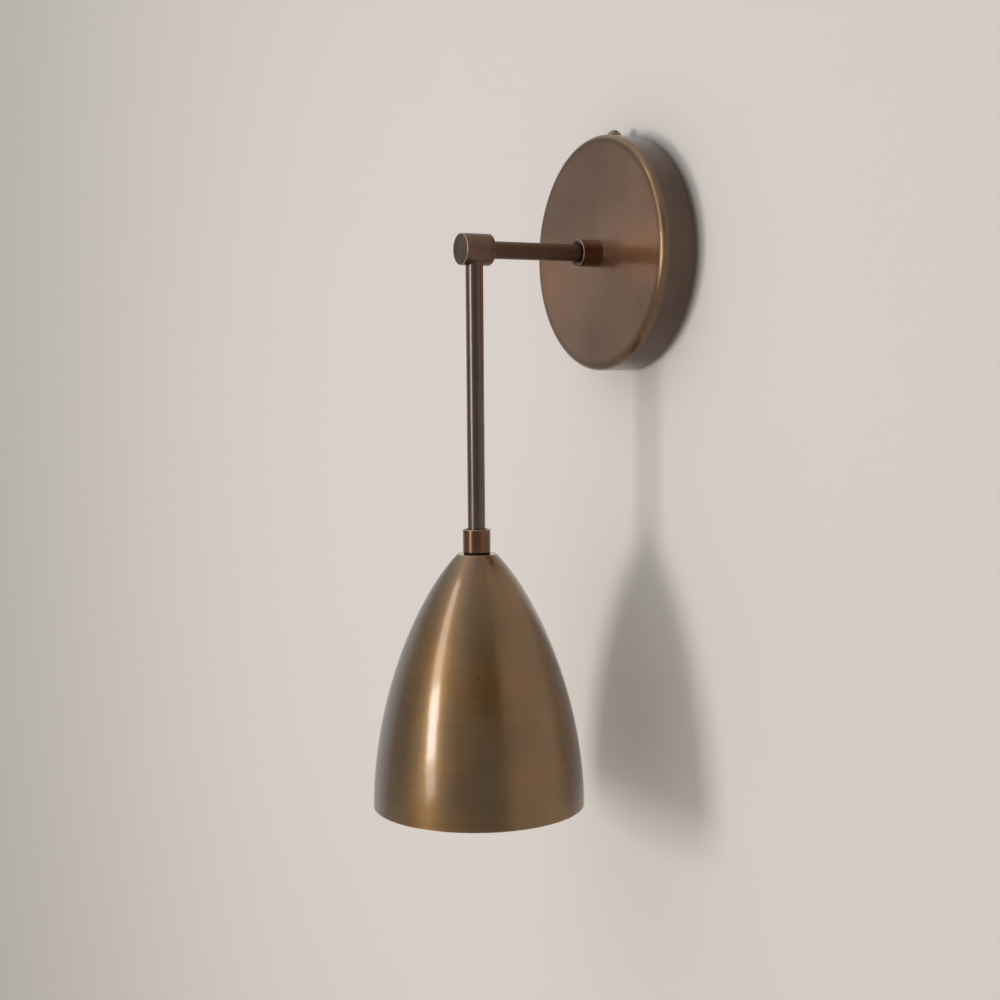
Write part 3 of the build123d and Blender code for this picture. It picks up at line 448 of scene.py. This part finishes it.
def cast_surface(name, colour, rough, metallic=0.0, grain=300, grain_depth=0.00002, mottle=0.12, **sockets):
    """Plain surface with fine grain and a little cloudiness, for plated steel, plastic, rubber and porcelain."""
    material, tree, surface = new_finish(name)
    place = node(tree, "TexCoord").outputs["Object"]
    cloud = noise(tree, place, 120, 4, 0.6)
    fine = noise(tree, place, grain, 3, 0.6)
    dark = tuple(c * (1 - mottle) for c in colour)
    tree.links.new(blend_colour(tree, ramp(tree, cloud, 0.35, 0.65), dark, colour), surface.inputs["Base Color"])
    tree.links.new(calc(tree, "MULTIPLY_ADD", fine, 0.14, rough - 0.07), surface.inputs["Roughness"])
    bump = node(tree, "Bump", {"Height": fine, "Distance": grain_depth, "Strength": 1.0})
    tree.links.new(bump.outputs[0], surface.inputs["Normal"])
    surface.inputs["Metallic"].default_value = metallic
    for key, value in sockets.items():
        surface.inputs[key.replace("_", " ")].default_value = value
    return material


def dress(material, *names):
    """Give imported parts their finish."""
    for name in names:
        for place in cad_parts[name].material_slots:
            place.material = material


# ---------------------------------------------------------------- operators
class SCONCE_OT_camera(Operator):
    """Place the camera at the right of the sconce, a little above the middle of its height, looking down a little"""

    bl_idname = "sconce.camera"
    bl_label = "Camera"

    def execute(self, context):
        sight = bpy.data.cameras.new("camera")
        sight.lens = CAMERA_LENS
        sight.sensor_width = CAMERA_SENSOR
        sight.clip_start = 0.01
        camera = bpy.data.objects.new("camera", sight)
        context.scene.collection.objects.link(camera)
        turn = Matrix.Rotation(radians(CAMERA_TURN), 4, "Z") @ Matrix.Rotation(radians(90 - CAMERA_DIP), 4, "X")
        turn = turn @ Matrix.Rotation(radians(CAMERA_ROLL), 4, "Z")
        camera.matrix_world = Matrix.Translation(CAMERA_PLACE) @ turn
        context.scene.camera = camera
        context.scene.view_settings.view_transform = "Standard"
        return {"FINISHED"}


class SCONCE_OT_stage(Operator):
    """Build the wall, the floor, the lamps and the light of the room"""

    bl_idname = "sconce.stage"
    bl_label = "Wall, floor and light"

    def execute(self, context):
        stage = context.scene.sconce_stage
        self.wall(stage)
        self.floor(stage)
        self.lamp(context, "key_lamp", stage.key_power, 0.37, 0.37, (-0.234, -1.574, -0.108), glossy=False)
        self.lamp(context, "strip_lamp", stage.strip_power, 0.3, 0.5, (0.16, -1.55, 0.04), turn=15, diffuse=False)
        self.lamp(context, "tall_strip_lamp", stage.strip_power * 2.05, 0.34, 2.0, (0.02, -1.6, 0.4), turn=18,
                  diffuse=False)
        self.room(context, stage)
        return {"FINISHED"}

    def wall(self, stage):
        """Round wall with a hole for the wall box behind the canopy. From behind it lets the view through."""
        piece = start(bpy.ops.mesh.primitive_circle_add, vertices=96, radius=WALL_BOX_RADIUS,
                      location=(0, stage.wall_gap, 0), rotation=(pi / 2, 0, 0))
        for reach in (0.2, 0.8, stage.wall_reach):
            radius = max(v.co.length for v in piece.data.vertices)
            bpy.ops.mesh.extrude_edges_move()
            bpy.ops.transform.resize(value=(reach / radius,) * 3, center_override=(0, stage.wall_gap, 0))
            bpy.ops.object.mode_set(mode="OBJECT")
            bpy.ops.object.mode_set(mode="EDIT")
        bpy.ops.object.mode_set(mode="OBJECT")
        bpy.ops.object.transform_apply(location=True, rotation=True, scale=True)
        if piece.data.polygons[0].normal.y > 0:
            piece.data.flip_normals()
        piece.name = "wall"
        material, tree, surface = new_finish("wall_paint")
        place = node(tree, "TexCoord").outputs["Object"]
        cloud = noise(tree, place, 6, 3, 0.5)
        roll = noise(tree, place, 160, 4, 0.6)
        dark = tuple(c * 0.985 for c in stage.wall_colour)
        tree.links.new(blend_colour(tree, cloud, dark, stage.wall_colour), surface.inputs["Base Color"])
        surface.inputs["Roughness"].default_value = 0.85
        surface.inputs["Specular IOR Level"].default_value = 0.2
        bump = node(tree, "Bump", {"Height": roll, "Distance": 0.00015, "Strength": 0.5})
        tree.links.new(bump.outputs[0], surface.inputs["Normal"])
        behind = node(tree, "NewGeometry").outputs["Backfacing"]
        clear = node(tree, "BsdfTransparent")
        mix = node(tree, "MixShader", {0: behind, 1: surface.outputs[0], 2: clear.outputs[0]})
        out = next(n for n in tree.nodes if n.type == "OUTPUT_MATERIAL")
        tree.links.new(mix.outputs[0], out.inputs[0])
        piece.data.materials.append(material)

    def floor(self, stage):
        """Pale floor far below."""
        piece = start(bpy.ops.mesh.primitive_grid_add, x_subdivisions=4, y_subdivisions=4, size=8,
                      location=(0, -4, stage.floor_height))
        bpy.ops.object.mode_set(mode="OBJECT")
        piece.name = "floor"
        piece.data.materials.append(cast_surface("floor_paint", (0.7, 0.66, 0.62), rough=0.7, grain=40, mottle=0.03))

    def lamp(self, context, name, power, width, height, place, turn=0, diffuse=True, glossy=True):
        """Flat studio lamp aimed at the middle of the sconce, its top leaning to the left by turn degrees."""
        light = bpy.data.lights.new(name, "AREA")
        light.energy = power
        light.shape = "RECTANGLE"
        light.size = width
        light.size_y = height
        lamp = bpy.data.objects.new(name, light)
        context.scene.collection.objects.link(lamp)
        lamp.location = place
        aim = LAMP_AIM - Vector(place)
        lean = Matrix.Rotation(radians(turn), 3, "Z")
        lamp.rotation_euler = (aim.to_track_quat("-Z", "Y").to_matrix() @ lean).to_euler()
        lamp.visible_diffuse = diffuse
        lamp.visible_glossy = glossy

    def room(self, context, stage):
        """Soft light from the room: brighter in front, above, below and at the left, dimmer high at the right."""
        world = bpy.data.worlds.new("room")
        context.scene.world = world
        world.use_nodes = True
        tree = world.node_tree
        tree.nodes.clear()
        way = node(tree, "TexCoord").outputs["Generated"]
        front = Vector((sin(radians(6)), -cos(radians(6)), 0.05)).normalized()
        glow = self.patch(tree, way, front, 34, 6, 0.34)
        height = node(tree, "SeparateXYZ", {0: way}).outputs[2]
        lift = ramp(tree, calc(tree, "ABSOLUTE", height), 0.3, 0.8, 0.0, 0.66)
        level = calc(tree, "ADD", calc(tree, "ADD", glow, lift), stage.room_light)
        for turn, rise, reach, bounce in BOUNCES:
            side = Matrix.Rotation(radians(turn), 3, "Z") @ Vector((0, -cos(radians(rise)), sin(radians(rise))))
            level = calc(tree, "ADD", level, self.patch(tree, way, side, reach, 10, bounce))
        daylight = (0.96, 1, 1.03, 1)
        back = node(tree, "Background", {"Color": daylight, "Strength": level})
        node(tree, "OutputWorld", {"Surface": back.outputs[0]})

    def patch(self, tree, way, middle, reach, full, strength):
        """Round soft patch of light: full within one angle of its middle, gone beyond its reach, in degrees."""
        towards = node(tree, "VectorMath", {0: way, 1: middle}, operation="DOT_PRODUCT").outputs["Value"]
        return ramp(tree, towards, cos(radians(reach)), cos(radians(full)), 0.0, strength)


class SCONCE_OT_shade(Operator):
    """Give the spun shade its brushed antique brass, with fine rings round it and a worn neck and mouth"""

    bl_idname = "sconce.shade"
    bl_label = "Shade"

    def execute(self, context):
        finish_of = context.scene.sconce_finish
        neck_radius = 0.0104
        brass = turned_metal(
            "antique_spun_brass", finish_of.shade_brass, DROP_AXIS, rough=0.42, lines=2200,
            depth=finish_of.brushing / 2, streak=0.08, mottle=0.19, clouds=28, marks=1.5, anisotropy=0.6,
            coat=1.0, coat_rough=0.13, coat_ior=1.65,
            rubbed=((neck_radius, SHADE_HIGH.z, 0.0006, 0.5), (SHADE_HIGH.x, SHADE_LOW.z, 0.0005, 0.5)),
            rubbed_colour=(0.55, 0.38, 0.2))
        dress(brass, "shade")
        return {"FINISHED"}


class SCONCE_OT_canopy(Operator):
    """Give the canopy its brown patina: stained face with the arm's reflection painted beside the collar, golden
    rolled edge and darker rim with one scuff
    """

    bl_idname = "sconce.canopy"
    bl_label = "Canopy"

    def execute(self, context):
        finish_of = context.scene.sconce_finish
        face, edge_radius = CANOPY_LOW.y, 0.0033
        edge = CANOPY_HIGH.x - edge_radius + face
        bronze = turned_metal(
            "canopy_patina", finish_of.canopy_bronze, WALL_AXIS, axis="Y", slope=1, rough=0.3, lines=2200,
            depth=finish_of.brushing / 8, streak=0.03, mottle=0.2, anisotropy=0.85, coat=0.5, coat_rough=0.04,
            clouds=22, bands=((edge - 0.003, edge + 0.001, finish_of.canopy_edge),
                              (edge + 0.0045, edge + 0.0085, finish_of.canopy_rim)),
            # The first patch is painted reflection: warm copper beside the collar that stands in for the arm's
            # reflection in the face; the others are stains and a scuff.
            stains_and_reflections=(((0.04, face, -0.004), 0.026, finish_of.canopy_stain_and_reflection, 0.8, False),
                    ((-0.045, face, -0.012), 0.026, finish_of.canopy_stain_and_reflection, 0.7, False),
                    ((-0.005, face, -0.05), 0.03, finish_of.canopy_rim, 0.3, False),
                    ((0.0316, -0.0095, 0.0551), 0.0035, (0.4, 0.37, 0.34), 0.5, True)),
            rubbed_colour=finish_of.rubbed_metal)
        dress(bronze, "canopy")
        return {"FINISHED"}


class SCONCE_OT_tubes(Operator):
    """Give the arm and the down rod their dark bronze"""

    bl_idname = "sconce.tubes"
    bl_label = "Arm and down rod"

    def execute(self, context):
        finish_of = context.scene.sconce_finish
        settings = dict(lines=3000, depth=finish_of.brushing / 60, streak=0.03, mottle=0.2,
                        rubbed_colour=finish_of.rubbed_metal)
        arm = turned_metal("arm_bronze", finish_of.tube_bronze, WALL_AXIS, axis="Y", rough=0.42, anisotropy=0.75,
                           coat=0.15, coat_rough=0.08, **settings)
        rod = turned_metal("rod_bronze", finish_of.tube_bronze, DROP_AXIS, rough=0.35, anisotropy=0.3, coat=1.0,
                           coat_rough=0.2, **settings)
        dress(arm, "arm_tube")
        dress(rod, "down_rod")
        return {"FINISHED"}


class SCONCE_OT_elbow(Operator):
    """Give the turned elbow its reddish bronze with rubbed front and rear edges"""

    bl_idname = "sconce.elbow"
    bl_label = "Elbow"

    def execute(self, context):
        finish_of = context.scene.sconce_finish
        radius = ELBOW_HIGH.x
        bronze = turned_metal(
            "elbow_bronze", finish_of.elbow_bronze, WALL_AXIS, axis="Y", slope=1, rough=0.38, lines=2600,
            depth=finish_of.brushing / 20, streak=0.03, mottle=0.3, clouds=150, coat=0.15, anisotropy=0.4,
            rubbed=((radius, ELBOW_LOW.y, 0.0005, 1.0), (radius, ELBOW_HIGH.y, 0.00045, 0.5)),
            rubbed_colour=finish_of.rubbed_metal, marks=1.3)
        dress(bronze, "elbow")
        return {"FINISHED"}


class SCONCE_OT_collars(Operator):
    """Give both turned collars their red brown, with rubbed end edges, and the seal below the lower one its rubber"""

    bl_idname = "sconce.collars"
    bl_label = "Collars and seal"

    def execute(self, context):
        finish_of = context.scene.sconce_finish
        for name, colour, centre, axis in (
                ("arm_collar", finish_of.arm_collar_copper, WALL_AXIS, "Y"),
                ("shade_collar", finish_of.shade_collar_copper, DROP_AXIS, "Z")):
            low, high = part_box(name)
            radius = high.x
            ends = (low.y, high.y) if axis == "Y" else (low.z, high.z)
            copper = turned_metal(
                name + "_copper", colour, centre, axis=axis, rough=0.28, lines=2600,
                depth=finish_of.brushing / 40, streak=0.05, mottle=0.25, clouds=120, anisotropy=0.6, coat=0.7,
                coat_rough=0.12, rubbed=[(radius, end, 0.0004, 0.9) for end in ends],
                rubbed_colour=finish_of.rubbed_metal)
            dress(copper, name)
        dress(cast_surface("seal_rubber", (0.012, 0.008, 0.006), rough=0.85, Specular_IOR_Level=0.2), "shade_gasket")
        return {"FINISHED"}


class SCONCE_OT_canopy_screw(Operator):
    """Finish the canopy screw's slotted head and cut the thread on its shank"""

    bl_idname = "sconce.canopy_screw"
    bl_label = "Canopy screw"

    def execute(self, context):
        finish_of = context.scene.sconce_finish
        brass = turned_metal(
            "screw_head_brass", finish_of.screw_brass, SCREW_AXIS, rough=0.24, lines=2200,
            depth=finish_of.brushing / 3, streak=0.08, mottle=0.2, clouds=300, coat=0.5,
            rubbed_colour=finish_of.rubbed_metal)
        dress(brass, "screw_washer")
        pitch = context.scene.sconce_threads.screw_pitch
        radius, top, tip = SHANK_HIGH.x, SHANK_HIGH.z, SHANK_LOW.z
        rise, shank, fillet, point = 0.0028, 0.002, 0.0003, 0.0005
        groove, core = 0.00043, 0.0014
        slot_width, slot_depth = 0.001, 0.0011
        seat = top - rise
        dome = (radius ** 2 + rise ** 2) / (2 * rise)
        lean = atan2(radius, dome - rise)
        head = [(dome * sin(lean * share / 10), top - dome + dome * cos(lean * share / 10)) for share in range(11)]
        side = rows(shank, seat - fillet, tip + point, pitch / 6)
        end = [(shank - point, tip), (0, tip)]
        piece = turn_outline(head + [(shank + fillet, seat)] + side + end, FITTING_STEPS)
        press_thread(piece, pitch, groove, tip + 0.0001, seat - 0.0004, core)
        cut_slot(piece, slot_width, slot_depth, top)
        piece.location = SCREW_AXIS
        finish(piece, "canopy_screw_cut", "screw", brass, stands_for=("canopy_screw",))
        return {"FINISHED"}


class SCONCE_OT_fittings(Operator):
    """Give the strap, the nuts, the washers and the small screws their zinc plating, and thread both nipples"""

    bl_idname = "sconce.fittings"
    bl_label = "Strap, nipples and nuts"

    def execute(self, context):
        zinc = cast_surface("zinc_plate", (0.6, 0.6, 0.58), rough=0.38, metallic=1.0, grain=500)
        dress(zinc, "wall_bracket", "canopy_washer", "canopy_nut", "shade_washer", "shade_nut", "holder_set_screw",
              "earth_screw", "terminal_screws", "block_screw")
        pitch = context.scene.sconce_threads.nipple_pitch
        low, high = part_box("arm_nipple")
        self.nipple("arm_nipple", pitch, -high.y, -low.y, zinc, WALL_AXIS, (pi / 2, 0, 0))
        low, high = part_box("shade_nipple")
        self.nipple("shade_nipple", pitch, low.z, high.z, zinc, DROP_AXIS, (0, 0, 0))
        return {"FINISHED"}

    def nipple(self, name, pitch, low, high, zinc, centre, turn):
        """Hollow threaded tube with chamfered ends."""
        radius, bore, bevel = 0.005, 0.00375, 0.0005
        groove, core = 0.00055, 0.0042
        side = rows(radius, high - bevel, low + bevel, pitch / 6)
        ends = [(bore, low), (bore, high)]
        piece = turn_outline([(radius - bevel, high)] + side + [(radius - bevel, low)] + ends, FITTING_STEPS)
        press_thread(piece, pitch, groove, low + bevel / 2, high - bevel / 2, core)
        piece.location = centre
        piece.rotation_euler = turn
        finish(piece, name + "_cut", "lamp", zinc, stands_for=(name,))


class SCONCE_OT_lampholder(Operator):
    """Give the lampholder its brass, its porcelain and its contacts, and the hook in the canopy the same brass"""

    bl_idname = "sconce.lampholder"
    bl_label = "Lampholder"

    def execute(self, context):
        finish_of = context.scene.sconce_finish
        brass = turned_metal(
            "holder_brass", (0.62, 0.44, 0.2), DROP_AXIS, rough=0.25, lines=1600, depth=finish_of.brushing / 2,
            streak=0.08, mottle=0.12, anisotropy=0.3, clouds=90, rubbed_colour=(0.85, 0.68, 0.4))
        dress(brass, "holder_cap", "holder_shell", "holder_socket", "canopy_hook")
        dress(cast_surface("contact_brass", (0.72, 0.55, 0.26), rough=0.3, metallic=1.0, grain=700),
              "holder_contact", "holder_terminals", "terminal_sleeves")
        dress(cast_surface("porcelain", (0.88, 0.87, 0.83), rough=0.12, grain=60, mottle=0.03), "holder_core")
        return {"FINISHED"}


class SCONCE_OT_lamp(Operator):
    """Finish the clear lamp, with its filaments and a cap with a rolled thread"""

    bl_idname = "sconce.lamp"
    bl_label = "Lamp"

    def execute(self, context):
        nickel = cast_surface("cap_nickel", (0.7, 0.68, 0.64), rough=0.25, metallic=1.0, grain=600)
        glass = cast_surface("clear_glass", (1, 1, 1), rough=0.07, grain=20, grain_depth=0.00001, mottle=0.0,
                             Transmission_Weight=1.0, IOR=1.45)
        dress(glass, "bulb_glass", "bulb_stem")
        self.cap(context.scene.sconce_threads, nickel)
        self.leads(nickel)
        dress(cast_surface("black_glass", (0.03, 0.03, 0.035), rough=0.12), "bulb_insulator")
        dress(cast_surface("solder", (0.6, 0.6, 0.6), rough=0.35, metallic=1.0, grain=900), "bulb_contact")
        dress(cast_surface("phosphor", (0.9, 0.62, 0.16), rough=0.6, grain=1500), "bulb_filaments")
        return {"FINISHED"}

    def cap(self, threads, nickel):
        """Screw cap: 45 degree shoulder, rolled thread and a plain skirt turned in on the glass."""
        radius, top, low = CAP_HIGH.x, CAP_HIGH.z, CAP_LOW.z
        inside, core = 0.01203, 0.0125
        shoulder = [(radius - 0.0034, top), (radius - 0.0008, top - 0.0026), (radius - 0.0004, top - 0.0033),
                    (radius - 0.0001, top - 0.0041)]
        side = rows(radius, top - 0.0047, low + 0.0024, threads.lamp_pitch / 10)
        skirt = [(radius - 0.00005, low + 0.002), (radius - 0.00025, low + 0.0017), (radius - 0.0002, low + 0.0004),
                 (radius - 0.0004, low)]
        wall = [(inside, low), (inside, top - 0.0027), (radius - 0.0037, top - 0.00015), (radius - 0.0037, top)]
        piece = turn_outline(shoulder + side + skirt + wall, threads.thread_steps)
        press_thread(piece, threads.lamp_pitch, threads.lamp_depth, low + 0.0023, top - 0.0038, core, rounded=True)
        piece.location = DROP_AXIS
        finish(piece, "lamp_cap_rolled", "bulb", nickel, stands_for=("bulb_cap",))

    def leads(self, metal):
        """Two bent wires from the stem out to the filaments."""
        crown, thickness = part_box("bulb_filaments")[1].z, 0.00025
        for side, word in ((1, "right"), (-1, "left")):
            path = [(0.0012, crown + 0.0145), (0.0022, crown + 0.0115), (0.003, crown + 0.009),
                    (0.0052, crown + 0.0045), (0.0059, crown + 0.0025), (0.006, crown + 0.0008)]
            wire = bend_wire([(reach * side, height) for reach, height in path], thickness)
            wire.location = DROP_AXIS
            finish(wire, "lamp_lead_" + word, "bulb", metal)


class SCONCE_OT_wiring(Operator):
    """Give the wires and the terminal block their insulation"""

    bl_idname = "sconce.wiring"
    bl_label = "Wires and terminal block"

    def execute(self, context):
        dress(cast_surface("black_insulation", (0.03, 0.03, 0.03), rough=0.35), "live_wire")
        dress(cast_surface("white_insulation", (0.85, 0.85, 0.83), rough=0.35), "neutral_wire")
        dress(cast_surface("green_insulation", (0.1, 0.42, 0.12), rough=0.35), "earth_wire")
        dress(cast_surface("block_plastic", (0.86, 0.85, 0.8), rough=0.45), "terminal_block")
        return {"FINISHED"}


class SCONCE_PT_panel(Panel):
    """Sidebar panel with every step of the sconce"""

    bl_label = "Bell shade sconce"
    bl_idname = "SCONCE_PT_panel"
    bl_space_type = "VIEW_3D"
    bl_region_type = "UI"
    bl_category = "Sconce"

    def draw(self, context):
        for step in STEPS:
            self.layout.operator(step.bl_idname)
        for group in (context.scene.sconce_finish, context.scene.sconce_threads, context.scene.sconce_stage):
            box = self.layout.box()
            for key in group.__annotations__:
                box.prop(group, key)


STEPS = (SCONCE_OT_camera, SCONCE_OT_stage, SCONCE_OT_shade, SCONCE_OT_canopy, SCONCE_OT_tubes, SCONCE_OT_elbow,
         SCONCE_OT_collars, SCONCE_OT_canopy_screw, SCONCE_OT_fittings, SCONCE_OT_lampholder, SCONCE_OT_lamp,
         SCONCE_OT_wiring)
GROUPS = (SconceFinish, SconceThreads, SconceStage)


def register():
    """Register every class and hang the settings on the scene."""
    for kind in GROUPS + STEPS + (SCONCE_PT_panel,):
        bpy.utils.register_class(kind)
    bpy.types.Scene.sconce_finish = PointerProperty(type=SconceFinish)
    bpy.types.Scene.sconce_threads = PointerProperty(type=SconceThreads)
    bpy.types.Scene.sconce_stage = PointerProperty(type=SconceStage)


def unregister():
    """Take the settings and the classes away again."""
    del bpy.types.Scene.sconce_stage
    del bpy.types.Scene.sconce_threads
    del bpy.types.Scene.sconce_finish
    for kind in reversed(GROUPS + STEPS + (SCONCE_PT_panel,)):
        bpy.utils.unregister_class(kind)


def main():
    """Run every step in order."""
    register()
    for step in STEPS:
        family, action = step.bl_idname.split(".")
        getattr(getattr(bpy.ops, family), action)()


if __name__ == "__main__":
    main()
